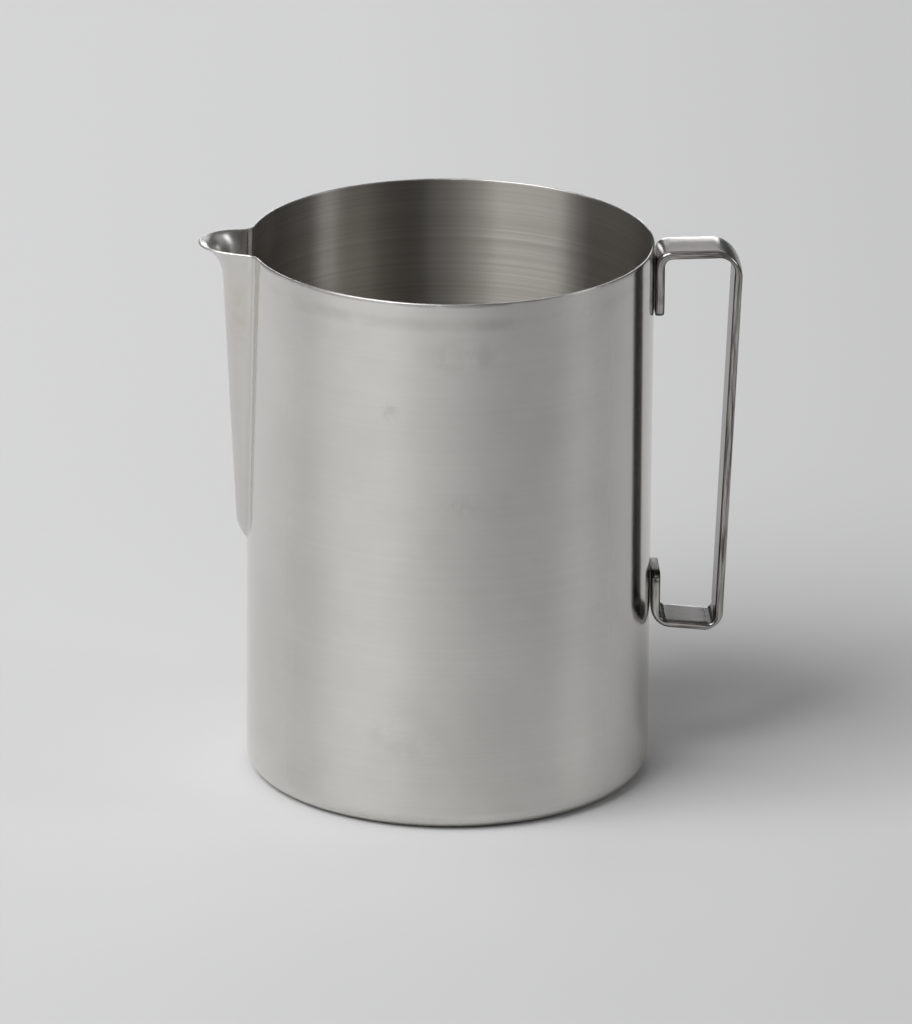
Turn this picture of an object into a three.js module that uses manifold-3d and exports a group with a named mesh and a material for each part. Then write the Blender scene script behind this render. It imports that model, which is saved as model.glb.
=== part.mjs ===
// Candle melting pot: a drawn stainless steel cup with a pouring spout and a flat bar handle.
// Millimetres, +Z up. The origin is the centre of the base's underside, on the surface the pot
// stands on. The handle is on the +X side and the spout on the -X side.
import * as THREE from 'three';
import { mergeVertices } from 'three/addons/utils/BufferGeometryUtils.js';
import Module from 'manifold-3d';

// Driving dimensions
const BODY_RADIUS = 62.5;        // outside of the wall
const BODY_HEIGHT = 170;         // base to rim
const SHEET = 0.8;               // thickness of the drawn cup and of the spout
const BASE_CORNER = 5.6;         // outside radius where the base turns up into the wall
const BASE_CORNER_STEPS = 5;
const WALL_FACETS = 72;

const SPOUT_FOOT = 74.3;         // height where the spout grows out of the wall
const SPOUT_FOOT_ROUND = 7.7;    // height over which the foot swells to the full channel
const SPOUT_DEPTH_LOW = 3.4;     // how far the channel stands off the wall just above its foot
const SPOUT_DEPTH_HIGH = 8.1;    // the same at the rim, without the lip
const SPOUT_HALF_LOW = 6.2;      // half the channel's width just above its foot
const SPOUT_HALF_HIGH = 13.1;    // the same at the rim
const LIP_THROW = 6.2;           // how much further the lip curls out at the tip
const LIP_HEIGHT = 12;           // height of the curl
const LIP_CURVE = 3.4;           // how sharply the curl tightens towards the edge
const SPOUT_LAYERS = 26;
const SPOUT_ARC_STEPS = 16;      // over a quarter of the channel's outline
const SPOUT_BACK = 58.5;         // a filled spout's flat back, from the pot's axis
const SPOUT_LEAST_HALF = 0.5;    // half width and reach left where a filled spout starts
const SPOUT_LEAST_REACH = 0.2;

const STRAP_WIDTH = 16;
const STRAP_THICKNESS = 2.8;
const STRAP_EDGE = 0.8;          // rounding of the bar's long edges
const STRAP_BENDS = [3.9, 5.4, 4.9, 4.8];   // bends from the top, at the middle of the bar
const STRAP_BEND_STEPS = 6;
const STRAP_CORNER = 4;          // rounding of the bar's four corners
const STRAP_STANDOFF = 0.4;      // the flat tabs to the nearest line of the wall
const UPPER_TAB_END = 147.3;
const LOWER_TAB_END = 64.4;
const TOP_BAR_INNER = 167.3;     // middle of the bar at its two ends, heights
const TOP_BAR_OUTER = 167.7;
const LOW_BAR_INNER = 47.4;
const LOW_BAR_OUTER = 45.5;
const GRIP_TOP = 88.5;           // middle of the grip from the pot's axis, top and bottom
const GRIP_FOOT = 83.7;

const NUGGET_RADIUS = 2.5;       // spot welds between the tabs and the wall
const NUGGET_THICKNESS = 0.3;
const NUGGET_FROM_END = 4;       // first weld of each tab from the tab's end
const NUGGET_PITCH = 6;
const BEAD_WIDTH = 1.4;          // seam weld round the spout
const BEAD_HEIGHT = 1.2;
const NUGGET_FACETS = 20;
const CLEAR = 0.3;               // gap left between neighbouring pieces
const BEYOND = 1;                // how far a cutting tool passes the face it cuts
const WELD_TOLERANCE = 1e-4;     // points nearer than this are joined

const wasm = await Module();
wasm.setup();

// Solids for joining and cutting
function solid(geometry) {
  const bare = geometry.clone();
  bare.deleteAttribute('normal');
  bare.deleteAttribute('uv');
  const merged = mergeVertices(bare, WELD_TOLERANCE);
  return new wasm.Manifold(new wasm.Mesh({
    numProp: 3,
    vertProperties: new Float32Array(merged.attributes.position.array),
    triVerts: new Uint32Array(merged.index.array),
  }));
}

function geometryOf(manifold) {
  const mesh = manifold.getMesh();
  const geometry = new THREE.BufferGeometry();
  geometry.setAttribute('position', new THREE.BufferAttribute(mesh.vertProperties, 3));
  geometry.setIndex(new THREE.BufferAttribute(mesh.triVerts, 1));
  geometry.computeVertexNormals();
  return geometry;
}

function steel(color, roughness) {
  return new THREE.MeshStandardMaterial({ color, roughness, metalness: 1 });
}

function piece(name, geometry, material) {
  const mesh = new THREE.Mesh(geometry, material);
  mesh.name = name;
  return mesh;
}

// A lathed profile turns about the geometry's Y axis, so it is stood up to turn about Z.
function turned(points) {
  return new THREE.LatheGeometry(points, WALL_FACETS).rotateX(Math.PI / 2);
}

function cylinder(radius, low, high) {
  const corners = [[0, low], [radius, low], [radius, high], [0, high]];
  return turned(corners.map(([r, z]) => new THREE.Vector2(r, z)));
}

function cornerArc(inset) {
  const arc = new THREE.Path();
  const centre = BODY_RADIUS - BASE_CORNER;
  arc.absarc(centre, BASE_CORNER, BASE_CORNER - inset, -Math.PI / 2, 0, false);
  return arc.getPoints(BASE_CORNER_STEPS);
}

// The cup: one sheet, with its inside corner on the same centre as the outside one.
function cup() {
  const outer = cornerArc(0);
  const inner = cornerArc(SHEET).reverse();
  return turned([
    new THREE.Vector2(0, 0),
    ...outer,
    new THREE.Vector2(BODY_RADIUS, BODY_HEIGHT),
    new THREE.Vector2(BODY_RADIUS - SHEET, BODY_HEIGHT),
    ...inner,
    new THREE.Vector2(0, SHEET),
  ]);
}

// The spout's channel: how deep and how wide it is at height z.
function channel(z) {
  const rise = (z - SPOUT_FOOT - SPOUT_FOOT_ROUND) / (BODY_HEIGHT - SPOUT_FOOT - SPOUT_FOOT_ROUND);
  const short = THREE.MathUtils.clamp((SPOUT_FOOT + SPOUT_FOOT_ROUND - z) / SPOUT_FOOT_ROUND, 0, 1);
  const swell = 1 - short * short;
  const lip = THREE.MathUtils.clamp((z - BODY_HEIGHT + LIP_HEIGHT) / LIP_HEIGHT, 0, 1);
  return {
    depth: swell * THREE.MathUtils.lerp(SPOUT_DEPTH_LOW, SPOUT_DEPTH_HIGH, rise)
      + LIP_THROW * lip ** LIP_CURVE,
    half: Math.sqrt(swell) * THREE.MathUtils.lerp(SPOUT_HALF_LOW, SPOUT_HALF_HIGH, rise),
  };
}

// A filled spout, grown outwards by `grow`. Its half-round outline is drawn at unit size and
// stretched at every height, and its flat back stands inside the cup's wall.
function filledSpout(grow, foot, top) {
  const outline = new THREE.Shape();
  outline.absellipse(0, 0, 1, 1, -Math.PI / 2, Math.PI / 2, false);
  outline.closePath();
  const geometry = new THREE.ExtrudeGeometry(outline, {
    depth: 1, steps: SPOUT_LAYERS, bevelEnabled: false, curveSegments: SPOUT_ARC_STEPS,
  });
  const at = geometry.attributes.position;
  for (let i = 0; i < at.count; i += 1) {
    const level = (1 - Math.cos(Math.PI * at.getZ(i))) / 2;
    const z = THREE.MathUtils.lerp(foot, top, level);
    const { depth, half } = channel(Math.min(z, BODY_HEIGHT));
    const side = Math.max(half + grow, SPOUT_LEAST_HALF);
    const root = Math.sqrt(BODY_RADIUS ** 2 - side ** 2);
    const reach = Math.max(BODY_RADIUS + depth + grow - root, SPOUT_LEAST_REACH);
    const onArc = at.getX(i) > WELD_TOLERANCE;
    const out = onArc ? root + reach * at.getX(i) : SPOUT_BACK;
    at.setXYZ(i, -out, -side * at.getY(i), z);
  }
  return solid(geometry);
}

const cupSolid = solid(cup());
const inWall = solid(cylinder(BODY_RADIUS + CLEAR, -BEYOND, BODY_HEIGHT + BEYOND));

// The spout: a thin shell that covers a slot in the wall
const slot = filledSpout(-SHEET, SPOUT_FOOT + 2 * SHEET, BODY_HEIGHT + BEYOND);
const potBody = cupSolid.subtract(slot);
const spoutOutside = filledSpout(0, SPOUT_FOOT, BODY_HEIGHT);
const spout = spoutOutside.subtract(slot).subtract(inWall);

// The seam weld: a bead along the outside of the joint, down both sides and round the foot
function seamWeld() {
  const beadFoot = SPOUT_FOOT - CLEAR - BEAD_WIDTH;
  const beadOutside = filledSpout(CLEAR + BEAD_WIDTH, beadFoot, BODY_HEIGHT);
  const beadInside = filledSpout(CLEAR, SPOUT_FOOT - CLEAR, BODY_HEIGHT + BEYOND);
  const skinRadius = BODY_RADIUS + CLEAR + BEAD_HEIGHT;
  const skin = solid(cylinder(skinRadius, beadFoot - BEYOND, BODY_HEIGHT));
  return beadOutside.subtract(beadInside).intersect(skin).subtract(inWall);
}

// The handle: a flat bar whose middle line runs between corners, each with its bend radius
function bentLine(corners, radii, steps) {
  const line = [];
  corners.forEach((corner, i) => {
    if (i === 0 || i === corners.length - 1) {
      line.push(corner.clone());
      return;
    }
    const radius = radii[i - 1];
    const toPrevious = corners[i - 1].clone().sub(corner).normalize();
    const toNext = corners[i + 1].clone().sub(corner).normalize();
    const halfAngle = toPrevious.angleTo(toNext) / 2;
    const centre = toPrevious.clone().add(toNext).normalize()
      .multiplyScalar(radius / Math.sin(halfAngle)).add(corner);
    const start = toPrevious.multiplyScalar(radius / Math.tan(halfAngle)).add(corner);
    const turn = Math.PI - 2 * halfAngle;
    for (let k = 0; k <= steps; k += 1) {
      line.push(start.clone().rotateAround(centre, -turn * k / steps));
    }
  });
  return line;
}

// What is cut away to round one corner of a tab: end at height `end`, bar above it or below
function cornerCutter(side, end, way) {
  const outline = new THREE.Shape();
  const edge = STRAP_WIDTH / 2;
  const inner = edge - STRAP_CORNER;
  outline.moveTo(side * (edge + BEYOND), end - way * BEYOND);
  outline.lineTo(side * inner, end - way * BEYOND);
  for (let k = 0; k <= STRAP_BEND_STEPS; k += 1) {
    const turn = Math.PI / 2 * k / STRAP_BEND_STEPS;
    const across = side * (inner + STRAP_CORNER * Math.sin(turn));
    outline.lineTo(across, end + way * STRAP_CORNER * (1 - Math.cos(turn)));
  }
  outline.lineTo(side * (edge + BEYOND), end + way * STRAP_CORNER);
  const depth = STRAP_THICKNESS + 2 * BEYOND;
  const geometry = new THREE.ExtrudeGeometry(outline, { depth, bevelEnabled: false });
  geometry.rotateX(Math.PI / 2).rotateZ(Math.PI / 2);
  return solid(geometry.translate(BODY_RADIUS + STRAP_STANDOFF - BEYOND, 0, 0));
}

function strapGeometry() {
  const tab = BODY_RADIUS + STRAP_STANDOFF + STRAP_THICKNESS / 2;
  const corners = [
    [tab, UPPER_TAB_END], [tab, TOP_BAR_INNER], [GRIP_TOP, TOP_BAR_OUTER],
    [GRIP_FOOT, LOW_BAR_OUTER], [tab, LOW_BAR_INNER], [tab, LOWER_TAB_END],
  ].map(([x, z]) => new THREE.Vector2(x, z));
  const middle = bentLine(corners, STRAP_BENDS, STRAP_BEND_STEPS);
  const offset = (side) => middle.map((point, i) => {
    const before = middle[Math.max(i - 1, 0)];
    const after = middle[Math.min(i + 1, middle.length - 1)];
    const along = after.clone().sub(before).normalize();
    return new THREE.Vector2(-along.y, along.x).multiplyScalar(side * STRAP_THICKNESS / 2).add(point);
  });
  const outline = new THREE.Shape([...offset(1), ...offset(-1).reverse()]);
  const geometry = new THREE.ExtrudeGeometry(outline, {
    depth: STRAP_WIDTH - 2 * STRAP_EDGE,
    bevelThickness: STRAP_EDGE,
    bevelSize: STRAP_EDGE,
    bevelOffset: -STRAP_EDGE,
    bevelSegments: 3,
  });
  geometry.translate(0, 0, -STRAP_WIDTH / 2 + STRAP_EDGE);
  let strap = solid(geometry.rotateX(Math.PI / 2));
  for (const side of [-1, 1]) {
    strap = strap.subtract(cornerCutter(side, UPPER_TAB_END, 1));
    strap = strap.subtract(cornerCutter(side, LOWER_TAB_END, -1));
  }
  return geometryOf(strap);
}

// One spot weld: a thin disc in the gap between a tab and the wall
function nugget(name, height) {
  const disc = new THREE.CylinderGeometry(
    NUGGET_RADIUS, NUGGET_RADIUS, NUGGET_THICKNESS, NUGGET_FACETS,
  );
  const mesh = piece(name, disc.rotateZ(Math.PI / 2), weldSteel);
  mesh.position.set(BODY_RADIUS + STRAP_STANDOFF / 2, 0, height);
  return mesh;
}

const brushed = steel(0xb4b4b0, 0.38);
const polished = steel(0x9a9894, 0.26);
const weldSteel = steel(0x8c8a86, 0.45);

const pot = new THREE.Group();
pot.add(piece('pot_body', geometryOf(potBody), brushed));
pot.add(piece('pouring_spout', geometryOf(spout), brushed.clone()));
pot.add(piece('spout_seam_weld', geometryOf(seamWeld()), weldSteel));
pot.add(piece('handle_strap', strapGeometry(), polished));
for (const place of [0, 1]) {
  const step = NUGGET_FROM_END + place * NUGGET_PITCH;
  pot.add(nugget(`upper_spot_weld_${place + 1}`, UPPER_TAB_END + step));
  pot.add(nugget(`lower_spot_weld_${place + 1}`, LOWER_TAB_END - step));
}

export default pot;
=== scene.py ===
"""A candle melting pot in satin stainless steel, built as an add-on and run as a script.

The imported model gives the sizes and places. Each operator builds one piece, or one group of
like pieces, with its material. Everything is in metres, +Z up, with the handle towards +X.
"""

import math

import bmesh
import bpy
import numpy as np
from bpy.props import FloatProperty, FloatVectorProperty, IntProperty, PointerProperty
from mathutils import Matrix, Vector


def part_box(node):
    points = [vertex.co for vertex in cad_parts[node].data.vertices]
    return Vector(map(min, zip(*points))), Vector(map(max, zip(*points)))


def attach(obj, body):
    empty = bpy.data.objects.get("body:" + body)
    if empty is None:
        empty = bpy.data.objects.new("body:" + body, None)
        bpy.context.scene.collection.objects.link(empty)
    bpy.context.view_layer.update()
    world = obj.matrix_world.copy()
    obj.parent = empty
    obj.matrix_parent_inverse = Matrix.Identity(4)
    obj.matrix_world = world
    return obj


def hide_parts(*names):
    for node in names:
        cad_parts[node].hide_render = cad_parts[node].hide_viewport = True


bl_info = {
    "name": "Melting Pot",
    "version": (1, 0, 0),
    "blender": (4, 5, 0),
    "location": "3D View > Sidebar > Melting Pot",
    "description": "Builds a stainless steel pouring pot, its finishes and a plain stage",
    "category": "Add Mesh",
}

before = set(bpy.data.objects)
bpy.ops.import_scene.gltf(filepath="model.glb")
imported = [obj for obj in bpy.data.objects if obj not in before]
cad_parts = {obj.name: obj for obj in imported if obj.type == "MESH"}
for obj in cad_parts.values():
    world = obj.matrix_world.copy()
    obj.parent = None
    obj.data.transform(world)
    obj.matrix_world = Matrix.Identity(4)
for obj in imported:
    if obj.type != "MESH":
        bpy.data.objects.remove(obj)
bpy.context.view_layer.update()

MM = 0.001
BODY_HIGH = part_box("pot_body")[1]
STRAP_LOW, STRAP_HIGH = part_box("handle_strap")
BODY = "root"
SHARP = math.radians(50)
MERGE = 1e-7
EDGE_STEPS = 8


# ---------------------------------------------------------------- settings


def length(name, description, default):
    """A length in metres that a user may change."""
    return FloatProperty(
        name=name, description=description, default=default, min=0.0, unit="LENGTH", precision=5
    )


def colour(name, description, default):
    """A colour that a user may change."""
    return FloatVectorProperty(
        name=name, description=description, default=default, size=3, min=0.0, max=1.0,
        subtype="COLOR",
    )


class MeltingPotCup(bpy.types.PropertyGroup):
    """Sizes of the drawn cup."""

    radius: length("Radius", "Outside radius of the wall", BODY_HIGH.y)
    height: length("Height", "Height of the rim above the base", BODY_HIGH.z)
    sheet: length("Sheet", "Thickness of the sheet, cup and spout", 0.8 * MM)
    corner: length("Base corner", "Outside radius between base and wall", 5.6 * MM)
    columns: IntProperty(
        name="Columns", description="Faces along each half of the wall", default=110, min=24
    )


class MeltingPotSpout(bpy.types.PropertyGroup):
    """Sizes of the spout's channel and lip."""

    foot: length("Foot", "Height where the channel grows out of the wall", 74.3 * MM)
    foot_round: length("Foot rounding", "Height over which the foot swells", 7.7 * MM)
    depth_low: length("Depth at foot", "How far the channel stands off the wall", 3.4 * MM)
    depth_high: length("Depth at rim", "The same at the rim, without the lip", 8.1 * MM)
    half_low: length("Half width at foot", "Half the channel's width above its foot", 6.2 * MM)
    half_high: length("Half width at rim", "The same at the rim", 13.1 * MM)
    lip_throw: length("Lip throw", "How far the lip curls out at its tip", 6.6 * MM)
    lip_height: length("Lip height", "Height of the curl", 12 * MM)
    lip_curve: FloatProperty(
        name="Lip curve", description="How sharply the curl tightens", default=3.4, min=1.0
    )
    curl: FloatProperty(
        name="Curl", description="Share of the lip's throw that turns level", default=0.42,
        min=0.0, max=1.0,
    )
    curl_power: FloatProperty(
        name="Curl power", description="How late the lip turns level", default=2.2, min=1.0
    )
    blend: length("Blend", "Softness of the corner between spout and wall", 3.4 * MM)


class MeltingPotHandle(bpy.types.PropertyGroup):
    """Sizes of the bent bar handle."""

    width: length("Width", "Width of the flat bar", STRAP_HIGH.y - STRAP_LOW.y)
    thickness: length("Thickness", "Thickness of the flat bar", 2.8 * MM)
    edge: length("Edge", "Rounding of the bar's long edges", 0.95 * MM)
    outer_bends: FloatVectorProperty(
        name="Outer bends", description="Outside radius of the four bends, from the top",
        default=(5.4 * MM, 9.6 * MM, 6.4 * MM, 7.0 * MM), size=4, min=0.0, unit="LENGTH",
    )
    inner_bends: FloatVectorProperty(
        name="Inner bends", description="Inside radius of the four bends, from the top",
        default=(2.4 * MM, 4.4 * MM, 1.6 * MM, 2.6 * MM), size=4, min=0.0, unit="LENGTH",
    )
    camber: length("Camber", "How far the bar's outer face is domed", 0.35 * MM)
    standoff: length("Stand-off", "Gap between the tabs and the wall", 0.12 * MM)
    upper_end: length("Upper tab", "Height of the upper tab's end", 147.3 * MM)
    lower_end: length("Lower tab", "Height of the lower tab's end", 64.4 * MM)
    corner: length("Corner", "Rounding of the bar's four corners", 2.6 * MM)
    upper_tip: length("Upper tip", "Thickness left at the upper tab's tip", 1.9 * MM)
    lower_tip: length("Lower tip", "Thickness left at the lower tab's tip", 2.3 * MM)
    top_inner: length("Top at wall", "Height of the top bar at the wall", 167.3 * MM)
    top_outer: length("Top at grip", "Height of the top bar at the grip", 167.7 * MM)
    low_inner: length("Foot at wall", "Height of the bottom bar at the wall", 47.4 * MM)
    low_outer: length("Foot at grip", "Height of the bottom bar at the grip", 45.5 * MM)
    grip_top: length("Grip top", "Reach of the grip at its top", 88.5 * MM)
    grip_foot: length("Grip foot", "Reach of the grip at its foot", 83.7 * MM)


class MeltingPotWelds(bpy.types.PropertyGroup):
    """Sizes of the welds."""

    bead: length("Bead", "Radius of the seam bead", 0.5 * MM)
    sunk: length("Sunk", "How far the dressed bead lies under the corner's surface", 0.06 * MM)
    ripple: length("Ripple", "Height of the marks left on the bead", 0.01 * MM)
    nugget: length("Nugget", "Radius of a spot weld", 2.5 * MM)
    nugget_depth: length("Nugget thickness", "Thickness of a spot weld", 0.14 * MM)


class MeltingPotFinish(bpy.types.PropertyGroup):
    """Colours of the steel and of the stage."""

    outside: colour("Outside", "Satin steel outside", (0.675, 0.662, 0.632))
    inside: colour("Inside", "Brushed steel inside", (0.50, 0.48, 0.445))
    bar: colour("Handle", "Tumbled steel of the handle", (0.30, 0.285, 0.275))
    # Painted shade: the rim colour darkens the rounded rim all round, dimming its highlight.
    rim: colour("Rim", "Cut edge of the sheet", (0.48, 0.47, 0.455))
    weld: colour("Weld", "Dressed weld metal", (0.52, 0.50, 0.47))
    # The stain colour also serves as painted shade: a darker band all round the cup just under the
    # rim.
    stain_and_shade: colour("Stain and shade", "Dried marks and finger marks", (0.42, 0.41, 0.38))
    tint: colour("Tint", "Faint warm tint beside the weld", (0.56, 0.47, 0.38))
    # The edge colours paint the bar's rounded edges in dark and light streaks: painted shade and
    # painted highlights for their reflections, with wear.
    edge_dark_wear_and_shade: colour("Edge, dark", "Darkest steel of the bar's edges", (0.10, 0.09, 0.083))
    edge_light_wear_and_highlight: colour("Edge, light", "Lightest steel of the bar's edges", (0.60, 0.575, 0.55))
    heat: colour("Heat", "Brown heat tint at the tabs' ends", (0.04, 0.029, 0.025))
    floor: colour("Floor", "Pale paper sweep in front", (0.615, 0.615, 0.62))
    # Painted light: this paler colour lightens the floor towards the back.
    floor_back_painted_light: colour("Floor behind", "The same behind the pot", (0.785, 0.785, 0.79))


class MeltingPotStage(bpy.types.PropertyGroup):
    """The camera's place."""

    distance: length("Camera distance", "From the pot's axis, level", 3.125)
    height: length("Camera height", "Above the surface that the pot stands on", 1.195)
    heading: FloatProperty(
        name="Heading", description="How far the handle is turned from the picture plane",
        default=math.radians(3.0), subtype="ANGLE",
    )
    pitch: FloatProperty(
        name="Pitch", description="How far the camera looks down",
        default=math.radians(19.605), subtype="ANGLE",
    )
    yaw: FloatProperty(
        name="Yaw", description="How far the camera turns away from the pot's axis",
        default=math.radians(0.04), subtype="ANGLE",
    )
    roll: FloatProperty(
        name="Roll", description="How far the camera leans", default=math.radians(0.485),
        subtype="ANGLE",
    )
    lens: FloatProperty(
        name="Lens", description="Focal length in millimetres", default=376.7, min=1.0
    )


GROUPS = (
    ("melting_pot_cup", MeltingPotCup),
    ("melting_pot_spout", MeltingPotSpout),
    ("melting_pot_handle", MeltingPotHandle),
    ("melting_pot_welds", MeltingPotWelds),
    ("melting_pot_finish", MeltingPotFinish),
    ("melting_pot_stage", MeltingPotStage),
)


# ------------------------------------------------- the surface of cup and spout


class PotSurface:
    """The outside of the cup with its spout, as one smooth surface about the pot's axis.

    Angles are measured from the spout, towards -Y. `out` is the way the spout points, -X.
    """

    PROBE = 0.02 * MM
    FLAT = 1e-4
    HALVINGS = 40
    ROWS = 72
    EVEN, EASED = 0.3, 0.7

    def __init__(self, cup, spout):
        self.cup = cup
        self.spout = spout

    def channel(self, z):
        """Depth beyond the wall and half width of the channel at each height."""
        s = self.spout
        top = self.cup.height
        start = s.foot + s.foot_round
        rise = (z - start) / (top - start)
        short = np.maximum((start - z) / s.foot_round, 0.0)
        swell = 1.0 - short**2
        lip = np.clip((z - top + s.lip_height) / s.lip_height, 0.0, None)
        swell = np.maximum(swell, self.FLAT)
        rise = np.maximum(rise, -0.5)
        depth = swell * (s.depth_low + (s.depth_high - s.depth_low) * rise)
        half = np.sqrt(swell) * (s.half_low + (s.half_high - s.half_low) * rise)
        curl = 1.0 - np.sqrt(np.maximum(1.0 - np.minimum(lip, 1.0) ** s.curl_power, 0.0))
        throw = s.lip_throw * (lip**s.lip_curve * (1.0 - s.curl) + curl * s.curl)
        return depth + throw, half

    def outside(self, out, side, z):
        """Below zero inside the pot, above it outside, with the corner between blended."""
        radius = self.cup.radius
        depth, half = self.channel(z)
        root = np.sqrt(radius**2 - half**2)
        reach = np.maximum(radius + depth - root, 0.1 * MM)
        u = np.maximum(out - root, 0.0) / reach
        v = side / half
        q = np.maximum(np.hypot(u, v), 1e-6)
        slope = np.maximum(np.hypot(u / reach, v / half) / q, 1e-6)
        to_channel = (q - 1.0) / slope
        to_wall = np.hypot(out, side) - radius
        soft = np.clip(depth, self.PROBE, self.spout.blend)
        h = np.clip(0.5 + 0.5 * (to_channel - to_wall) / soft, 0.0, 1.0)
        blended = to_channel * (1 - h) + to_wall * h - soft * h * (1 - h)
        return np.where((z > self.spout.foot) & (out > 0), blended, to_wall)

    def point(self, angle, z):
        """The point of the surface at each angle and height."""
        low = np.full(np.broadcast(angle, z).shape, self.cup.radius * 0.98)
        high = low * 1.5
        for _ in range(self.HALVINGS):
            middle = (low + high) / 2
            inside = self.outside(middle * np.cos(angle), middle * np.sin(angle), z) < 0
            low = np.where(inside, middle, low)
            high = np.where(inside, high, middle)
        return np.stack([-low * np.cos(angle), -low * np.sin(angle), z + 0 * low], -1)

    def normal(self, points):
        """Unit normals pointing out of the pot."""
        grads = []
        for axis in range(3):
            step = np.zeros(3)
            step[axis] = self.PROBE
            grads.append(self.value(points + step) - self.value(points - step))
        grad = np.stack(grads, -1)
        return grad / np.linalg.norm(grad, axis=-1, keepdims=True)

    def value(self, points):
        """The outside test for points in the pot's own frame."""
        return self.outside(-points[..., 0], -points[..., 1], points[..., 2])

    def seam_angle(self, z):
        """Half the angle that the channel takes out of the wall at each height."""
        _, half = self.channel(z)
        angle = np.arcsin(np.clip(half / self.cup.radius, 0.0, 1.0))
        return np.where(z <= self.spout.foot, 0.0, angle)

    def spout_heights(self):
        """Rows from the spout's foot to the rim, closer together at both ends."""
        even = np.linspace(0.0, 1.0, self.ROWS)
        eased = 0.5 - 0.5 * np.cos(np.pi * even)
        share = self.EVEN * even + self.EASED * eased
        return self.spout.foot + (self.cup.height - self.spout.foot) * share


def sheet_rows(surface, angles, heights):
    """Rows of points up the outside, over the rounded edge and down the inside."""
    sheet = surface.cup.sheet
    outer = [surface.point(a, z) for a, z in zip(angles, heights)]
    normals = [surface.normal(p) for p in outer]
    inner = [p - sheet * n for p, n in zip(outer, normals)]
    n = normals[-1]
    up = np.array([0.0, 0.0, 1.0]) - n * n[:, 2:3]
    up /= np.linalg.norm(up, axis=1, keepdims=True)
    centre = (outer[-1] + inner[-1]) / 2
    edge = [
        centre + sheet / 2 * (n * math.cos(turn) + up * math.sin(turn))
        for turn in np.linspace(0, math.pi, EDGE_STEPS + 1)[1:-1]
    ]
    return outer + edge + inner[::-1], len(outer), len(edge)


def grid_mesh(name, rows, closings=()):
    """A mesh of a grid of rows with its UV map, plus extra faces given by row and column."""
    count = len(rows[0])
    bm = bmesh.new()
    verts = [[bm.verts.new(p) for p in row] for row in rows]
    uv = bm.loops.layers.uv.new("UVMap")
    flat = np.array(rows)
    across = np.cumsum(np.linalg.norm(np.diff(flat, axis=0), axis=2).max(1))
    across = np.concatenate([[0.0], across])
    along = np.linspace(0, 1, count)
    for i in range(len(rows) - 1):
        for j in range(count - 1):
            places = ((i, j), (i, j + 1), (i + 1, j + 1), (i + 1, j))
            face = bm.faces.new([verts[r][c] for r, c in places])
            for loop, (r, c) in zip(face.loops, places):
                loop[uv].uv = (along[c], across[r])
            face.smooth = True
    for corners in closings:
        bm.faces.new([verts[r][c] for r, c in corners])
    bmesh.ops.remove_doubles(bm, verts=bm.verts, dist=MERGE)
    bmesh.ops.dissolve_degenerate(bm, edges=bm.edges, dist=1e-8)
    bmesh.ops.recalc_face_normals(bm, faces=bm.faces)
    mesh = bpy.data.meshes.new(name)
    bm.to_mesh(mesh)
    bm.free()
    mesh.set_sharp_from_angle(angle=SHARP)
    return mesh


def slot_closings(first, outer_count, edge_count, last_column):
    """Faces that close a sheet along its two side edges, from row `first` to the rim."""
    top = outer_count - 1
    last_row = 2 * outer_count + edge_count - 1
    faces = []
    for column in (0, last_column):
        for row in range(first, top):
            faces.append([(row, column), (row + 1, column),
                          (last_row - row - 1, column), (last_row - row, column)])
        faces.append([(row, column) for row in range(top, top + edge_count + 2)])
    return faces


def new_object(name, mesh, material):
    """Links a mesh to the scene as an object at the origin with one material."""
    obj = bpy.data.objects.new(name, mesh)
    bpy.context.scene.collection.objects.link(obj)
    mesh.materials.clear()
    mesh.materials.append(material)
    return obj


def settle(piece, slot, *nodes):
    """Rides a finished piece on the pot and hides the CAD nodes that it stands for."""
    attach(piece, BODY)
    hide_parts(*nodes)


# ---------------------------------------------------------------- materials


def add_node(tree, kind, feeds=None, **values):
    """A shader or geometry node with its properties and inputs set by name.

    `feeds` gives inputs by name or number: an output is linked, anything else is a value.
    """
    node = tree.nodes.new(kind)
    for key, value in values.items():
        if hasattr(node, key):
            setattr(node, key, value)
        else:
            node.inputs[key.replace("_", " ")].default_value = value
    for key, value in (feeds or {}).items():
        if isinstance(value, bpy.types.NodeSocket):
            tree.links.new(value, node.inputs[key])
        else:
            node.inputs[key].default_value = value
    return node


def multiply(tree, first, second):
    """The product of two numbers."""
    return add_node(tree, "ShaderNodeMath", {0: first, 1: second}, operation="MULTIPLY").outputs[0]


def scaled(tree, vector, factor):
    """A vector or a colour times a number."""
    feeds = {0: vector, "Scale": factor}
    return add_node(tree, "ShaderNodeVectorMath", feeds, operation="SCALE").outputs[0]


def map_range(tree, value, low, high, **values):
    """Spreads a value's range over 0 to 1, or over what the values say."""
    feeds = {"Value": value, "From Min": low, "From Max": high}
    return add_node(tree, "ShaderNodeMapRange", feeds, **values).outputs[0]


def mix_tones(tree, factor, first, second):
    """The first colour where the factor is 0, and the second where it is 1."""
    feeds = {"Factor": factor, 6: first, 7: second}
    return add_node(tree, "ShaderNodeMix", feeds, data_type="RGBA").outputs[2]


def coordinates(tree, kind):
    """The X, Y and Z of the place on the object, or on its UV map."""
    place = add_node(tree, "ShaderNodeTexCoord")
    return add_node(tree, "ShaderNodeSeparateXYZ", {0: place.outputs[kind]}).outputs


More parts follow.
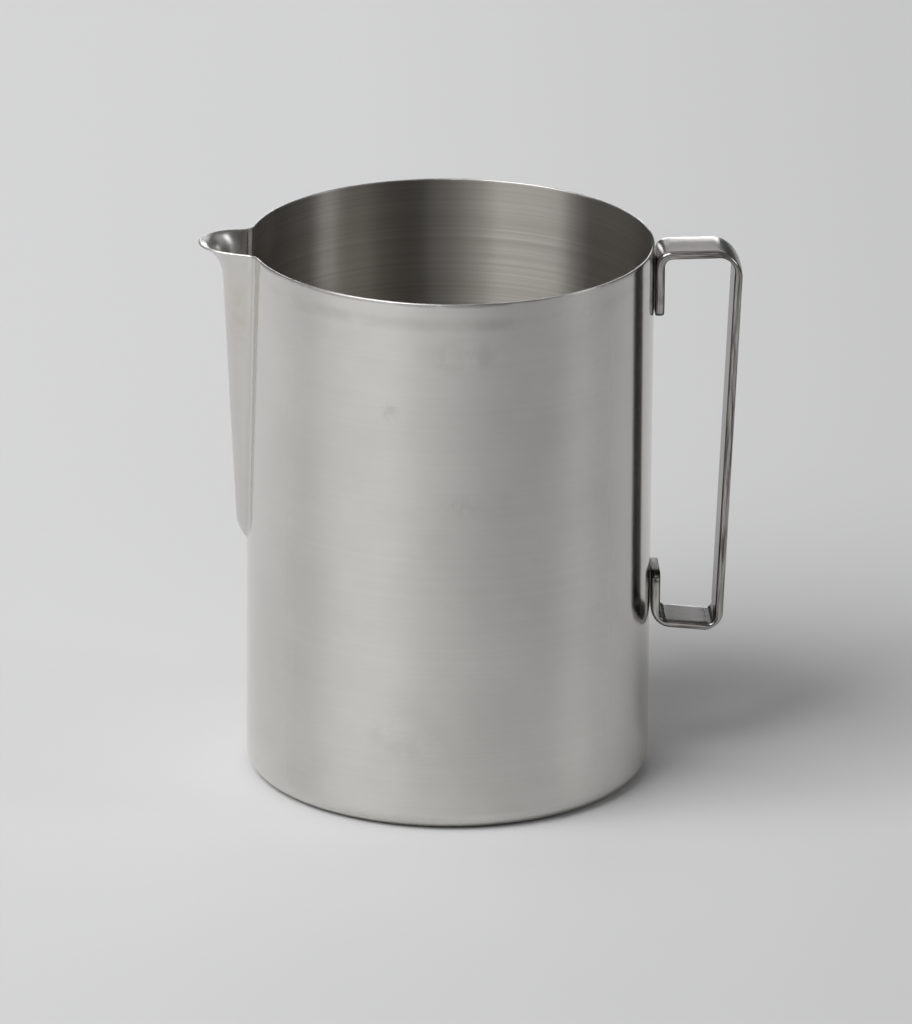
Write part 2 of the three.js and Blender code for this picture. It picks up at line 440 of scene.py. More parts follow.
def new_group(name, inputs, outputs):
    """An empty shader node group with named sockets: the group, what it is given and makes."""
    kinds = {"float": "NodeSocketFloat", "vector": "NodeSocketVector", "colour": "NodeSocketColor"}
    group = bpy.data.node_groups.new(name, "ShaderNodeTree")
    for label, kind, value in inputs:
        socket = group.interface.new_socket(name=label, in_out="INPUT", socket_type=kinds[kind])
        if value is not None:
            socket.default_value = value
    for label, kind in outputs:
        group.interface.new_socket(name=label, in_out="OUTPUT", socket_type=kinds[kind])
    given = group.nodes.new("NodeGroupInput")
    made = group.nodes.new("NodeGroupOutput")
    return group, given.outputs, made.inputs


def brushing_group():
    """Fine scratches along one direction: a height and a roughness."""
    group, given, made = new_group(
        "Brushing",
        [("Place", "vector", None), ("Scale", "vector", (10.0, 10.0, 900.0)),
         ("Low", "float", 0.25), ("High", "float", 0.35)],
        [("Height", "float"), ("Roughness", "float")],
    )
    shift = (0.3, 0.35, 0.3)
    place = add_node(
        group, "ShaderNodeVectorMath", {0: given["Place"], 1: given["Scale"], 2: shift},
        operation="MULTIPLY_ADD",
    )
    streaks = add_node(
        group, "ShaderNodeTexNoise", {"Vector": place.outputs[0]},
        Scale=1.0, Detail=3.0, Roughness=0.65,
    )
    height = streaks.outputs["Fac"]
    roughness = add_node(
        group, "ShaderNodeMapRange",
        {"Value": height, "To Min": given["Low"], "To Max": given["High"]},
        From_Min=0.3, From_Max=0.7,
    )
    group.links.new(height, made["Height"])
    group.links.new(roughness.outputs[0], made["Roughness"])
    return group


def stain_and_shade_group():
    """A patchy mark round one place on the surface: a mask, 0 away from it."""
    group, given, made = new_group(
        "Stain and shade",
        [("Place", "vector", (0.0, 0.0, 0.0)), ("Size", "vector", (0.01, 0.01, 0.01)),
         ("Grain", "float", 400.0), ("Amount", "float", 0.5)],
        [("Mask", "float")],
    )
    kind = "ShaderNodeVectorMath"
    place = add_node(group, "ShaderNodeTexCoord").outputs["Object"]
    offset = add_node(group, kind, {0: place, 1: given["Place"]}, operation="SUBTRACT")
    share = add_node(group, kind, {0: offset.outputs[0], 1: given["Size"]}, operation="DIVIDE")
    away = add_node(group, kind, {0: share.outputs[0]}, operation="LENGTH").outputs["Value"]
    fade = map_range(group, away, 1.0, 0.1, interpolation_type="SMOOTHSTEP")
    patches = add_node(
        group, "ShaderNodeTexNoise", {"Vector": place, "Scale": given["Grain"]},
        Detail=5.0, Roughness=0.6,
    )
    broken = map_range(group, patches.outputs["Fac"], 0.38, 0.66)
    mask = multiply(group, multiply(group, fade, broken), given["Amount"])
    group.links.new(mask, made["Mask"])
    return group


def mottle_group():
    """Slow changes of tone over the steel: a colour between two tones."""
    group, given, made = new_group(
        "Mottle",
        [("Scale", "float", 30.0), ("Light", "colour", None), ("Dark", "colour", None)],
        [("Colour", "colour")],
    )
    place = add_node(group, "ShaderNodeTexCoord")
    clouds = add_node(
        group, "ShaderNodeTexNoise", {"Vector": place.outputs["Object"], "Scale": given["Scale"]},
        Detail=4.0, Roughness=0.55,
    )
    share = map_range(group, clouds.outputs["Fac"], 0.3, 0.7)
    group.links.new(mix_tones(group, share, given["Dark"], given["Light"]), made["Colour"])
    return group


def use_group(tree, builder, **values):
    """Places a shared group in a material with its own values, and builds it if it is new."""
    name = {brushing_group: "Brushing", stain_and_shade_group: "Stain and shade", mottle_group: "Mottle"}[builder]
    node = tree.nodes.new("ShaderNodeGroup")
    node.node_tree = bpy.data.node_groups.get(name) or builder()
    for key, value in values.items():
        node.inputs[key].default_value = value
    return node


def rgba(tone, factor=1.0):
    """A colour socket's value from a colour of three numbers."""
    return (tone[0] * factor, tone[1] * factor, tone[2] * factor, 1.0)


def steel_material(name, tone, brushing, bump, anisotropy, stains_and_shade=(), mottle=0.05, uv=False,
                   grazing=1.0, grain=0.0, hollow=None, edges=None):
    """Steel with scratches, a slow mottle, marks at given places, some of them painted shade, and
    painted shade on a bar's inner face and edges.

    `stains_and_shade` holds each mark's tone, middle, reach, fineness of its patches, and
    strength.
    `grazing` is the share of the roughness left where the surface is seen at a low angle.
    `grain` is how strongly the scratches change the tone.
    `hollow` is where a bar's inner face starts round its section, and the share of the tone left
    there as painted shade.
    `edges` is the half width of a bar and the tones of its edge faces, which hold painted shade
    and painted highlights with streaks of wear.
    """
    material = bpy.data.materials.new(name)
    material.use_nodes = True
    tree = material.node_tree
    link = tree.links.new
    shader = tree.nodes["Principled BSDF"].inputs
    shader["Metallic"].default_value = 1.0
    shader["Anisotropic"].default_value = anisotropy
    shader["Anisotropic Rotation"].default_value = 0.25
    along = add_node(tree, "ShaderNodeTangent", direction_type="UV_MAP", uv_map="UVMap")
    link(along.outputs[0], shader["Tangent"])
    place = add_node(tree, "ShaderNodeTexCoord")
    scratches = use_group(tree, brushing_group, **brushing)
    link(place.outputs["UV" if uv else "Object"], scratches.inputs["Place"])
    height = scratches.outputs["Height"]
    facing = add_node(tree, "ShaderNodeLayerWeight", Blend=0.5).outputs["Facing"]
    share = map_range(
        tree, facing, 0.25, 0.65, interpolation_type="SMOOTHSTEP", To_Min=1.0, To_Max=grazing
    )
    link(multiply(tree, scratches.outputs["Roughness"], share), shader["Roughness"])
    relief = add_node(
        tree, "ShaderNodeBump", {"Height": height}, Strength=bump, Distance=0.05 * MM
    )
    link(relief.outputs[0], shader["Normal"])
    base = use_group(tree, mottle_group, Scale=28.0, Light=rgba(tone, 1 + mottle),
                     Dark=rgba(tone, 1 - mottle))
    last = base.outputs["Colour"]
    if grain:
        lines = map_range(tree, height, 0.3, 0.7, To_Min=-grain, To_Max=grain)
        shade = add_node(tree, "ShaderNodeBrightContrast", {"Color": last, "Bright": lines})
        last = shade.outputs[0]
    # Painted shade on the bar's inner face.
    if hollow:
        last = painted_hollow_shade(tree, last, *hollow)
    # Painted shade and painted highlights, with streaks of wear, on the bar's edge faces.
    if edges:
        last = edge_wear_and_shade(tree, last, height, *edges)
    # The marks mix stains over the tone, and on the cup also painted shade.
    for stain_and_shade_tone, middle, reach, fineness, strength in stains_and_shade:
        mark = use_group(
            tree, stain_and_shade_group, Place=middle, Size=reach, Grain=fineness, Amount=strength
        )
        last = mix_tones(tree, mark.outputs["Mask"], last, rgba(stain_and_shade_tone))
    link(last, shader["Base Color"])
    return material


def painted_hollow_shade(tree, last, start, share):
    """Painted shade: the inner face of a bar darkened, found by how far round its section it lies.
    """
    around = coordinates(tree, "UV")["X"]
    factor = map_range(tree, around, start - 1 * MM, start, To_Min=1.0, To_Max=share)
    return scaled(tree, last, factor)


def edge_wear_and_shade(tree, last, height, half_width, dark, light):
    """Dark and light streaks on a bar's edge faces, found by their distance from its middle:
    painted shade and painted highlights standing in for their reflections, with wear.
    """
    across = coordinates(tree, "Object")["Y"]
    away = add_node(tree, "ShaderNodeMath", {0: across}, operation="ABSOLUTE").outputs[0]
    start, full = half_width - 0.75 * MM, half_width - 0.25 * MM
    mask = map_range(tree, away, start, full, interpolation_type="SMOOTHSTEP")
    streak = map_range(tree, height, 0.35, 0.68)
    return mix_tones(tree, mask, last, mix_tones(tree, streak, rgba(dark), rgba(light)))


# ---------------------------------------------------------------- pieces


class POT_OT_body(bpy.types.Operator):
    """Build the drawn cup, with the slot behind the spout"""

    bl_idname = "melting_pot.body"
    bl_label = "Cup"

    PLAIN_ROWS = 24
    FLAT_RINGS = 8
    BEND_STEPS = 12
    SPOUT_SPACING = 0.12

    def execute(self, context):
        scene = context.scene
        cup = scene.melting_pot_cup
        finish = scene.melting_pot_finish
        surface = PotSurface(cup, scene.melting_pot_spout)
        spout_rows = surface.spout_heights()
        plain = np.linspace(cup.corner, surface.spout.foot, self.PLAIN_ROWS)[:-1]
        heights = np.concatenate([plain, spout_rows])
        spread = np.linspace(0, 1, cup.columns)
        spread = spread * (self.SPOUT_SPACING + (1 - self.SPOUT_SPACING) * spread)
        half = [s + (math.pi - s) * spread for s in surface.seam_angle(heights)]
        angles = [np.concatenate([a, 2 * math.pi - a[-2::-1]]) for a in half]
        rows, outer_count, edge_count = sheet_rows(surface, angles, heights)
        corner_rows = self.base_rows(cup, angles[0], 0.0)
        inner_rows = self.base_rows(cup, angles[0], cup.sheet)
        first = len(corner_rows)
        closings = [
            [(r + first, c) for r, c in face]
            for face in slot_closings(len(plain), outer_count, edge_count, len(angles[0]) - 1)
        ]
        mesh = grid_mesh("pot_cup", corner_rows + rows + inner_rows[::-1], closings)
        front, top = -cup.radius, cup.height
        stain_and_shade = finish.stain_and_shade
        marks = [
            # Painted shade: a darker band all round the outside just under the rim, standing in
            # for a dark reflection there.
            (stain_and_shade, (0.0, 0.0, top - 6.2 * MM), (0.3, 0.3, 0.0034), 45.0, 0.5),
            # Painted shade: the rounded rim darkened all round to dim its highlight.
            (finish.rim, (0.0, 0.0, top + 0.2 * MM), (0.3, 0.3, 0.0012), 45.0, 4.0),
            (stain_and_shade, (0.001, front, top - 16 * MM), (0.019, 0.02, 0.009), 150.0, 0.34),
            (stain_and_shade, (-0.021, -0.059, top - 35 * MM), (0.004, 0.006, 0.004), 500.0, 0.5),
            (stain_and_shade, (0.001, front, top - 64 * MM), (0.010, 0.02, 0.005), 400.0, 0.3),
            (stain_and_shade, (-0.017, -0.060, 30 * MM), (0.020, 0.03, 0.015), 130.0, 0.24),
        ]
        material = steel_material(
            "Satin steel", finish.outside,
            {"Scale": (3.0, 3.0, 1000.0), "Low": 0.38, "High": 0.38}, 0.0, 0.8, marks,
            grazing=0.36, grain=0.012,
        )
        inside = steel_material(
            "Brushed inside", finish.inside,
            {"Scale": (3.0, 3.0, 1300.0), "Low": 0.35, "High": 0.38}, 0.0, 0.98, grain=0.05,
        )
        piece = new_object("cup", mesh, material)
        mesh.materials.append(inside)
        self.mark_inside(mesh, cup)
        settle(piece, "brushed_body", "pot_body")
        return {"FINISHED"}

    def base_rows(self, cup, angles, inset):
        """Rings from the middle of the base to the foot of the wall, on one side of the sheet."""
        flat = cup.radius - cup.corner
        rings = [(flat * t, inset) for t in np.linspace(0, 1, self.FLAT_RINGS + 1)]
        bend = cup.corner - inset
        for turn in np.linspace(-math.pi / 2, 0, self.BEND_STEPS + 1)[1:-1]:
            rings.append((flat + bend * math.cos(turn), cup.corner + bend * math.sin(turn)))
        return [
            np.stack([-r * np.cos(angles), -r * np.sin(angles), z + 0 * angles], -1)
            for r, z in rings
        ]

    @staticmethod
    def mark_inside(mesh, cup):
        """Gives the second material to the faces that look at the pot's axis or up."""
        for face in mesh.polygons:
            middle = face.center
            level = Vector((middle.x, middle.y, 0.0))
            inner = level.length < cup.radius - cup.sheet * 0.6 and middle.z > cup.sheet * 0.5
            facing = level.dot(face.normal) < 0 or face.normal.z > 0.3
            if inner and facing and middle.z < cup.height - 0.1 * MM:
                face.material_index = 1


class POT_OT_spout(bpy.types.Operator):
    """Build the pressed spout with its curled lip"""

    bl_idname = "melting_pot.spout"
    bl_label = "Spout"

    COLUMNS = 73

    def execute(self, context):
        scene = context.scene
        finish = scene.melting_pot_finish
        surface = PotSurface(scene.melting_pot_cup, scene.melting_pot_spout)
        heights = surface.spout_heights()
        share = np.sin(np.linspace(-math.pi / 2, math.pi / 2, self.COLUMNS))
        angles = [a * share for a in surface.seam_angle(heights)]
        rows, outer_count, edge_count = sheet_rows(surface, angles, heights)
        closings = slot_closings(0, outer_count, edge_count, self.COLUMNS - 1)
        mesh = grid_mesh("pot_spout", rows, closings)
        tint_middle = (-0.066, -0.011, 0.150)
        marks = [(finish.tint, tint_middle, (0.008, 0.012, 0.02), 110.0, 0.4)]
        material = steel_material(
            "Satin spout", finish.outside,
            {"Scale": (40.0, 40.0, 500.0), "Low": 0.34, "High": 0.34}, 0.0, 0.2, marks,
            grazing=0.84,
        )
        piece = new_object("spout", mesh, material)
        settle(piece, "satin_spout", "pouring_spout")
        return {"FINISHED"}


class POT_OT_seam(bpy.types.Operator):
    """Lay the dressed weld bead down both sides of the spout and round its foot"""

    bl_idname = "melting_pot.seam"
    bl_label = "Seam weld"

    def execute(self, context):
        scene = context.scene
        welds = scene.melting_pot_welds
        surface = PotSurface(scene.melting_pot_cup, scene.melting_pot_spout)
        heights = surface.spout_heights()[:-1]
        sides = surface.seam_angle(heights)
        angle = np.concatenate([sides[::-1], -sides[1:]])
        level = np.concatenate([heights[::-1], heights[1:]])
        crest = surface.point(angle, level)
        path = crest - surface.normal(crest) * (welds.bead + welds.sunk)
        mesh = bpy.data.meshes.new("seam_path")
        mesh.from_pydata([tuple(p) for p in path], [(i, i + 1) for i in range(len(path) - 1)], [])
        material = steel_material(
            "Dressed weld", scene.melting_pot_finish.weld,
            {"Scale": (300.0, 300.0, 900.0), "Low": 0.2, "High": 0.3}, 0.05, 0.0,
        )
        carrier = new_object("seam_weld_path", mesh, material)
        tree = bead_tree(material)
        values = {"Radius": welds.bead, "Ripple": welds.ripple, "Step": 0.5 * MM}
        piece = grown(carrier, tree, values, "seam_weld")
        settle(piece, "dressed_weld", "spout_seam_weld")
        return {"FINISHED"}


def new_tree(name, *sizes):
    """An empty geometry tree with named sizes: the tree and what it is given."""
    tree = bpy.data.node_groups.new(name, "GeometryNodeTree")
    sockets = tree.interface
    sockets.new_socket(name="Geometry", in_out="INPUT", socket_type="NodeSocketGeometry")
    for size in sizes:
        sockets.new_socket(name=size, in_out="INPUT", socket_type="NodeSocketFloat")
    sockets.new_socket(name="Geometry", in_out="OUTPUT", socket_type="NodeSocketGeometry")
    given = tree.nodes.new("NodeGroupInput")
    return tree, given.outputs


def finish_tree(tree, geometry, material):
    """Ends a geometry tree: instances made real, and the material set."""
    real = add_node(tree, "GeometryNodeRealizeInstances", {"Geometry": geometry})
    feeds = {"Geometry": real.outputs["Geometry"], "Material": material}
    painted = add_node(tree, "GeometryNodeSetMaterial", feeds)
    add_node(tree, "NodeGroupOutput", {"Geometry": painted.outputs["Geometry"]})
    return tree


def bead_tree(material):
    """Geometry nodes: a bead with small ripples swept along a line of edges."""
    tree, given = new_tree("Weld bead", "Radius", "Ripple", "Step")
    curve = add_node(tree, "GeometryNodeMeshToCurve", {"Mesh": given["Geometry"]})
    feeds = {"Curve": curve.outputs["Curve"], "Length": given["Step"]}
    even = add_node(tree, "GeometryNodeResampleCurve", feeds, mode="LENGTH")
    feeds = {"Resolution": 20, "Radius": given["Radius"]}
    ring = add_node(tree, "GeometryNodeCurvePrimitiveCircle", feeds, mode="RADIUS")
    tube = add_node(tree, "GeometryNodeCurveToMesh", {
        "Curve": even.outputs["Curve"], "Profile Curve": ring.outputs["Curve"], "Fill Caps": True,
    })
    noise = add_node(tree, "ShaderNodeTexNoise", Scale=900.0, Detail=1.0)
    feeds = {0: noise.outputs["Fac"], 1: 0.5}
    centred = add_node(tree, "ShaderNodeMath", feeds, operation="SUBTRACT")
    height = multiply(tree, centred.outputs[0], given["Ripple"])
    normal = add_node(tree, "GeometryNodeInputNormal")
    moved = add_node(tree, "GeometryNodeSetPosition", {
        "Geometry": tube.outputs["Mesh"], "Offset": scaled(tree, normal.outputs[0], height),
    })
    return finish_tree(tree, moved.outputs["Geometry"], material)


def spot_tree(material):
    """Geometry nodes: one disc at every point of a mesh, facing along X."""
    tree, given = new_tree("Spot welds", "Radius", "Depth")
    feeds = {"Vertices": 40, "Radius": given["Radius"], "Depth": given["Depth"]}
    disc = add_node(tree, "GeometryNodeMeshCylinder", feeds)
    points = add_node(tree, "GeometryNodeMeshToPoints", {"Mesh": given["Geometry"]})
    placed = add_node(tree, "GeometryNodeInstanceOnPoints", {
        "Points": points.outputs["Points"], "Instance": disc.outputs["Mesh"],
        "Rotation": (0.0, math.pi / 2, 0.0),
    })
    return finish_tree(tree, placed.outputs["Instances"], material)


def grown(carrier, tree, values, name):
    """Runs a geometry tree on a carrier and returns the result as a plain piece."""
    modifier = carrier.modifiers.new("Grow", "NODES")
    modifier.node_group = tree
    for item in tree.interface.items_tree:
        if item.in_out == "INPUT" and item.name in values:
            modifier[item.identifier] = values[item.name]
    bpy.context.view_layer.update()
    evaluated = carrier.evaluated_get(bpy.context.evaluated_depsgraph_get())
    mesh = bpy.data.meshes.new_from_object(evaluated)
    mesh.name = name
    carrier.modifiers.remove(modifier)
    bpy.data.objects.remove(carrier)
    tidy_mesh(mesh)
    piece = bpy.data.objects.new(name, mesh)
    bpy.context.scene.collection.objects.link(piece)
    return piece


def tidy_mesh(mesh):
    """Merges doubles, points faces outwards, smooths and adds a UV map from the place."""
    bm = bmesh.new()
    bm.from_mesh(mesh)
    bmesh.ops.remove_doubles(bm, verts=bm.verts, dist=MERGE)
    bmesh.ops.recalc_face_normals(bm, faces=bm.faces)
    uv = bm.loops.layers.uv.get("UVMap") or bm.loops.layers.uv.new("UVMap")
    for face in bm.faces:
        face.smooth = True
        for loop in face.loops:
            loop[uv].uv = (loop.vert.co.y + loop.vert.co.x, loop.vert.co.z)
    bm.to_mesh(mesh)
    bm.free()
    mesh.set_sharp_from_angle(angle=SHARP)


class POT_OT_handle(bpy.types.Operator):
    """Bend the flat bar into the handle"""

    bl_idname = "melting_pot.handle"
    bl_label = "Handle"

    BEND_STEPS = 14
    END_STEPS = 10
    END_WALL = 0.7
    EDGE_FLAT = 0.1 * MM
    CORNER_SHARE = math.sqrt(2) - 1
    TAB_TOP = (0.0, 0.3, 0.5)
    TAB_FOOT = (0.5, 0.7, 1.0)

    def execute(self, context):
        scene = context.scene
        handle = scene.melting_pot_handle
        line = self.middle_line(handle, scene.melting_pot_cup.radius)
        rings = self.sections(handle, line)
        mesh = self.tube(rings)
        finish = scene.melting_pot_finish
        wall = scene.melting_pot_cup.radius
        low, high = (wall, 0.0, handle.lower_end + 1 * MM), (wall, 0.0, handle.upper_end)
        marks = [
            (finish.heat, low, (0.012, 0.03, 0.006), 700.0, 8.0),
            (finish.heat, high, (0.012, 0.03, 0.012), 200.0, 0.7),
        ]
        material = steel_material(
            "Tumbled bar", finish.bar,
            {"Scale": (1500.0, 60.0, 1.0), "Low": 0.20, "High": 0.25}, 0.04, 0.0, marks,
            # The bar's edge faces get painted shade and painted highlights with streaks of wear.
            mottle=0.14, uv=True, edges=(handle.width / 2, finish.edge_dark_wear_and_shade, finish.edge_light_wear_and_highlight),
            # Painted shade: the bar's inner face is darkened.
            hollow=(handle.width + handle.thickness, 0.30),
        )
        piece = new_object("handle", mesh, material)
        settle(piece, "polished_handle", "handle_strap")
        return {"FINISHED"}

    def middle_line(self, handle, wall):
        """Places along the middle of the bar with their thinning, from tab's end to tab's end."""
        tab = wall + handle.standoff + handle.thickness / 2
        corners = [
            Vector((tab, handle.upper_end)), Vector((tab, handle.top_inner)),
            Vector((handle.grip_top, handle.top_outer)),
            Vector((handle.grip_foot, handle.low_outer)),
            Vector((tab, handle.low_inner)), Vector((tab, handle.lower_end)),
        ]
        places = [(corners[0].lerp(corners[1], t), 0.0) for t in self.TAB_TOP]
        bends = zip(corners, corners[1:], corners[2:], handle.outer_bends, handle.inner_bends)
        for before, corner, after, outer, inner in bends:
            thinning = (outer - inner - handle.thickness) * self.CORNER_SHARE
            places += self.bend(before, corner, after, (outer + inner) / 2, thinning)
        places += [(corners[-2].lerp(corners[-1], t), 0.0) for t in self.TAB_FOOT]
        return places

    def bend(self, before, corner, after, radius, thinning):
        """Places round one bend, with how much thinner the bar is at each."""
        back = (before - corner).normalized()
        on = (after - corner).normalized()
        half = back.angle(on) / 2
        centre = corner + (back + on).normalized() * (radius / math.sin(half))
        start = corner + back * (radius / math.tan(half))
        arm = start - centre
        sweep = 2 * half - math.pi
        places = []
        for k in range(self.BEND_STEPS + 1):
            share = k / self.BEND_STEPS
            c, s = math.cos(sweep * share), math.sin(sweep * share)
            place = centre + Vector((arm.x * c - arm.y * s, arm.x * s + arm.y * c))
            places.append((place, thinning * math.sin(math.pi * share)))
        return places

    def sections(self, handle, places):
        """The bar's rounded section at every place of the line, drawn in at both ends."""
        first, last = places[0][0], places[-1][0]
        up = (places[1][0] - first).normalized()
        rings = self.end_rings(handle, first, up, handle.upper_tip, 1)
        for (before, _), (place, thinning), (after, _) in zip(places, places[1:], places[2:]):
            along = (after - before).normalized()
            rings.append(self.ring(handle, place, along, 0.0, thinning, 0.0))
        down = (last - places[-2][0]).normalized()
        rings += self.end_rings(handle, last, down, handle.lower_tip, -1)
        return rings

    def end_rings(self, handle, tip, along, thick, way):
        """Sections of a rounded end, thinning towards the wall, in the line's order."""
        steps = np.linspace(0, math.pi / 2, self.END_STEPS + 1)[::-way]
        rings = []
        for step in steps:
            drawn = 1 - math.cos(step)
            narrowing = 2 * handle.corner * drawn
            thinning = (handle.thickness - thick) * drawn**2
            place = tip + along * way * handle.corner * (1 - math.sin(step))
            shift = thinning / 2 * self.END_WALL
            rings.append(self.ring(handle, place, along, narrowing, thinning, shift))
        return rings

    def ring(self, handle, place, along, narrowing, thinning, shift):
        """One domed and rounded section, narrower, thinner or nearer the wall if asked."""
        width = handle.width - narrowing
        thickness = handle.thickness - thinning
        edge = min(handle.edge, thickness / 2 - self.EDGE_FLAT)
        out = Vector((-along.y, along.x))
        clear = (place.x - BODY_HIGH.x - handle.thickness) / handle.thickness
        camber = handle.camber * min(max(clear, 0.0), 1.0)
        ring = []
        for u, v in rounded_outline(width, thickness, edge):
            dome = camber * (2 * u / handle.width) ** 2 * (v > 0)
            level = v - dome + shift
            ring.append(Vector((place.x + out.x * level, u, place.y + out.y * level)))
        return ring

    def tube(self, rings):
        """Joins the sections into a closed bar."""
        bm = bmesh.new()
        uv = bm.loops.layers.uv.new("UVMap")
        verts = [[bm.verts.new(p) for p in ring] for ring in rings]
        count = len(rings[0])
        for i in range(len(rings) - 1):
            for j in range(count):
                k = (j + 1) % count
                bm.faces.new((verts[i][j], verts[i][k], verts[i + 1][k], verts[i + 1][j]))
        bm.faces.new(verts[0])
        bm.faces.new(verts[-1])
        for face in bm.faces:
            face.smooth = True
        self.lay_uv(bm, uv, rings)
        bmesh.ops.recalc_face_normals(bm, faces=bm.faces)
        mesh = bpy.data.meshes.new("handle_bar")
        bm.to_mesh(mesh)
        bm.free()
        mesh.set_sharp_from_angle(angle=SHARP)
        return mesh

    @staticmethod
    def lay_uv(bm, uv, rings):
        """A UV map in metres: U round the section, V along the bar."""
        count = len(rings[0])
        flat = np.array([[tuple(p) for p in ring] for ring in rings])
        middle = flat[len(rings) // 2]
        steps = np.linalg.norm(np.roll(middle, -1, 0) - middle, axis=1)
        around = np.concatenate([[0.0], np.cumsum(steps)])
        stretches = np.linalg.norm(np.diff(flat.mean(1), axis=0), axis=1)
        along = np.concatenate([[0.0], np.cumsum(stretches)])
        bm.verts.index_update()
        for face in bm.faces:
            columns = [loop.vert.index % count for loop in face.loops]
            wraps = max(columns) - min(columns) == count - 1 and len(columns) == 4
            for loop, column in zip(face.loops, columns):
                u = around[count] if wraps and column == 0 else around[column]
                loop[uv].uv = (u, along[loop.vert.index // count])


def rounded_outline(width, thickness, radius):
    """A rectangle with round corners as (across, through) pairs, anticlockwise."""
    across, through = width / 2 - radius, thickness / 2 - radius
    points = []
    for corner, (sx, sy) in enumerate(((1, 1), (-1, 1), (-1, -1), (1, -1))):
        for step in range(6):
            turn = math.pi / 2 * (corner + step / 5)
            points.append((sx * across + radius * math.cos(turn),
                           sy * through + radius * math.sin(turn)))
        if corner in (0, 2):
            level = sy * (through + radius)
            points += [(sx * across * t, level) for t in np.linspace(1, -1, 13)[1:-1]]
    return points


class POT_OT_spot_welds(bpy.types.Operator):
    """Set the spot welds between the handle's tabs and the wall"""

    bl_idname = "melting_pot.spot_welds"
    bl_label = "Spot welds"

    def execute(self, context):
        scene = context.scene
        welds = scene.melting_pot_welds
        material = steel_material(
            "Spot weld", scene.melting_pot_finish.heat,
            {"Scale": (400.0, 400.0, 400.0), "Low": 0.35, "High": 0.5}, 0.1, 0.0,
        )
        for name in ("upper_spot_weld", "lower_spot_weld"):
            nodes = [f"{name}_1", f"{name}_2"]
            places = [sum(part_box(node), Vector()) / 2 for node in nodes]
            mesh = bpy.data.meshes.new(name)
            mesh.from_pydata(places, [], [])
            carrier = new_object(f"{name}_places", mesh, material)
            values = {"Radius": welds.nugget, "Depth": welds.nugget_depth}
            piece = grown(carrier, spot_tree(material), values, f"{name}s")
            settle(piece, "spot_weld", *nodes)
        return {"FINISHED"}


# ---------------------------------------------------------------- stage


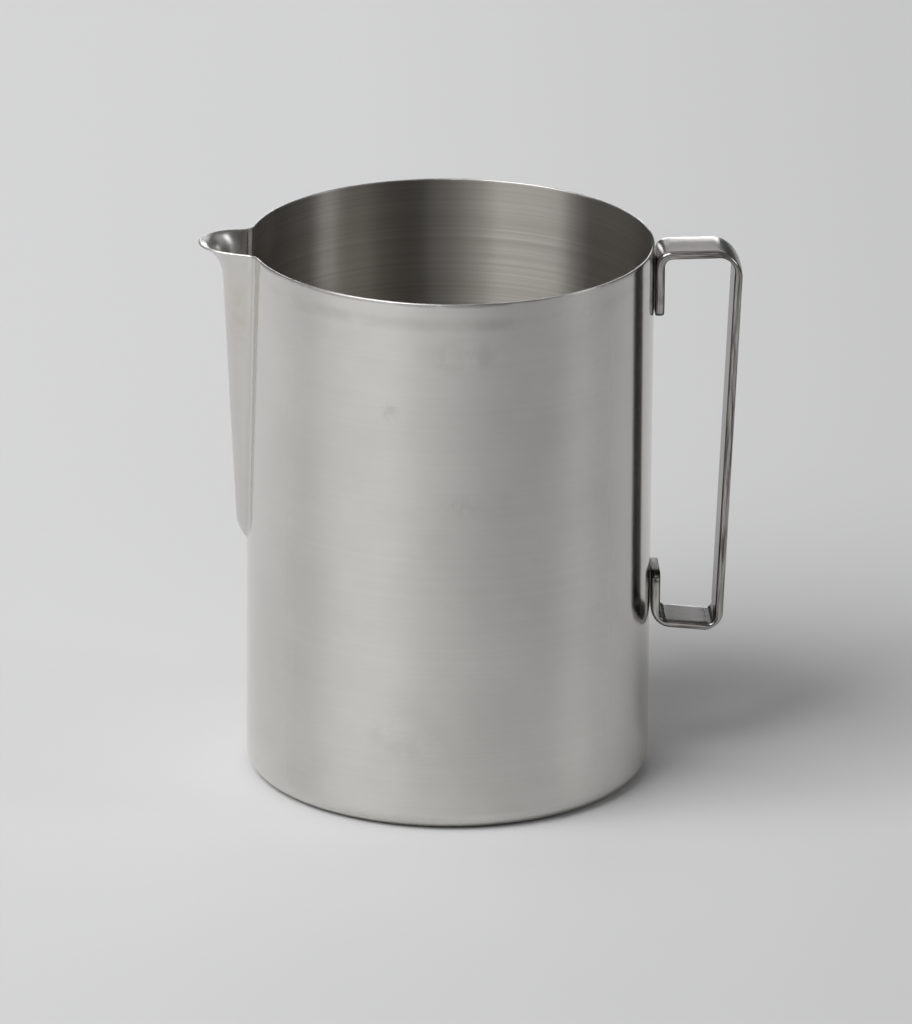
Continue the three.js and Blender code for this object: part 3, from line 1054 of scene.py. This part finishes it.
class POT_OT_stage(bpy.types.Operator):
    """Lay the pale floor, hang the soft lights and set the camera"""

    bl_idname = "melting_pot.stage"
    bl_label = "Stage"

    FLOOR_HALF = 12.0
    # Painted light towards the back: where it starts and where it is full.
    PALER_FROM, PALEST_AT = -0.2, 0.8
    # Painted shade past the handle: where it starts, where it is full, and the factor there.
    DARKER_FROM, DARKEST_AT, DARKEST = 0.0, 0.3, 0.88
    AMBIENT = (0.094, 0.095, 0.098, 1.0)
    TARGET = Vector((0.0, 0.0, 0.08))
    REACH = 2.6
    BOXES = (
        ("key", -50.0, 54.0, (1.98, 1.57), 59.0),
        ("low key", -50.0, 28.0, (1.98, 0.78), 7.2),
        ("side", 79.5, 25.0, (0.62, 0.7), 5.5),
        ("left", -78.0, 35.0, (0.8, 1.2), 5.6),
        ("far left", -108.0, 35.0, (1.0, 1.2), 0.4),
        ("left rim", -140.0, 35.0, (1.2, 1.2), 2.0),
        ("front fill", 0.0, 28.0, (1.2, 0.8), 2.8),
        ("right fill", 112.0, 35.0, (1.2, 1.2), 1.6),
        ("back", 180.0, 32.0, (2.2, 0.8), 5.0),
        ("back strip", 180.0, 9.0, (0.9, 0.40), 5.8),
        ("overhead", 180.0, 78.0, (2.0, 0.5), 4.2),
    )

    def execute(self, context):
        scene = context.scene
        self.floor(scene)
        self.world(scene)
        self.lights(scene)
        self.camera(scene)
        scene.view_settings.view_transform = "Standard"
        return {"FINISHED"}

    def floor(self, scene):
        """A paper sweep, with painted light making it paler towards the back and painted shade
        making it a little darker past the handle.
        """
        half = self.FLOOR_HALF
        mesh = bpy.data.meshes.new("floor")
        corners = [(-half, -half, 0), (half, -half, 0), (half, half, 0), (-half, half, 0)]
        mesh.from_pydata(corners, [], [(0, 1, 2, 3)])
        finish = scene.melting_pot_finish
        material = bpy.data.materials.new("Paper sweep")
        material.use_nodes = True
        tree = material.node_tree
        shader = tree.nodes["Principled BSDF"].inputs
        shader["Roughness"].default_value = 0.9
        shader["Specular IOR Level"].default_value = 0.1
        place = coordinates(tree, "Object")
        # Painted light: the paper is made paler towards the back.
        share = map_range(tree, place["Y"], self.PALER_FROM, self.PALEST_AT)
        tone = mix_tones(tree, share, rgba(finish.floor), rgba(finish.floor_back_painted_light))
        # Painted shade: the paper is made a little darker past the handle, towards +X.
        left = map_range(tree, place["X"], self.DARKER_FROM, self.DARKEST_AT,
                         To_Min=1.0, To_Max=self.DARKEST)
        tree.links.new(scaled(tree, tone, left), shader["Base Color"])
        new_object("floor", mesh, material)

    def world(self, scene):
        """A dim, even light from all round."""
        world = bpy.data.worlds.new("Studio")
        world.use_nodes = True
        background = world.node_tree.nodes["Background"].inputs
        background["Color"].default_value = self.AMBIENT
        background["Strength"].default_value = 1.0
        scene.world = world

    def lights(self, scene):
        """Softboxes round the pot, given by heading, height angle, size and power."""
        for name, heading, rise, size, power in self.BOXES:
            data = bpy.data.lights.new(name, "AREA")
            data.shape = "RECTANGLE"
            data.size, data.size_y = size
            data.energy = power
            light = bpy.data.objects.new(name, data)
            scene.collection.objects.link(light)
            light.visible_camera = False
            turn = math.radians(heading) - scene.melting_pot_stage.heading
            lift = math.radians(rise)
            way = Vector((
                math.sin(turn) * math.cos(lift), -math.cos(turn) * math.cos(lift), math.sin(lift)
            ))
            light.location = self.TARGET + way * self.REACH
            light.rotation_mode = "QUATERNION"
            light.rotation_quaternion = (-way).to_track_quat("-Z", "Y")

    def camera(self, scene):
        """A long lens in front of the pot, above it and tilted down."""
        view = scene.melting_pot_stage
        data = bpy.data.cameras.new("camera")
        data.lens = view.lens
        data.sensor_width = 36.0
        data.clip_end = 100.0
        camera = bpy.data.objects.new("camera", data)
        scene.collection.objects.link(camera)
        place = Matrix.Rotation(-view.heading, 4, "Z") @ Matrix.Translation(
            (0.0, -view.distance, view.height)
        )
        turn = Matrix.Rotation(-view.yaw, 4, "Z")
        tilt = turn @ Matrix.Rotation(math.pi / 2 - view.pitch, 4, "X")
        lean = Matrix.Rotation(view.roll, 4, "Z")
        camera.matrix_world = place @ tilt @ lean
        scene.camera = camera


class POT_PT_panel(bpy.types.Panel):
    """Lists the pieces and the stage in the order that they are built."""

    bl_idname = "POT_PT_panel"
    bl_label = "Melting Pot"
    bl_space_type = "VIEW_3D"
    bl_region_type = "UI"
    bl_category = "Melting Pot"

    def draw(self, context):
        for operator in OPERATORS:
            self.layout.operator(operator.bl_idname)


OPERATORS = (
    POT_OT_body, POT_OT_spout, POT_OT_seam, POT_OT_handle, POT_OT_spot_welds, POT_OT_stage
)


def register():
    """Adds the settings, the operators and the panel."""
    for name, group in GROUPS:
        bpy.utils.register_class(group)
        setattr(bpy.types.Scene, name, PointerProperty(type=group))
    for operator in OPERATORS:
        bpy.utils.register_class(operator)
    bpy.utils.register_class(POT_PT_panel)


def unregister():
    """Takes them all away again."""
    bpy.utils.unregister_class(POT_PT_panel)
    for operator in reversed(OPERATORS):
        bpy.utils.unregister_class(operator)
    for name, group in reversed(GROUPS):
        delattr(bpy.types.Scene, name)
        bpy.utils.unregister_class(group)


def main():
    """Builds the pot and its stage."""
    register()
    bpy.ops.melting_pot.body()
    bpy.ops.melting_pot.spout()
    bpy.ops.melting_pot.seam()
    bpy.ops.melting_pot.handle()
    bpy.ops.melting_pot.spot_welds()
    bpy.ops.melting_pot.stage()


if __name__ == "__main__":
    main()
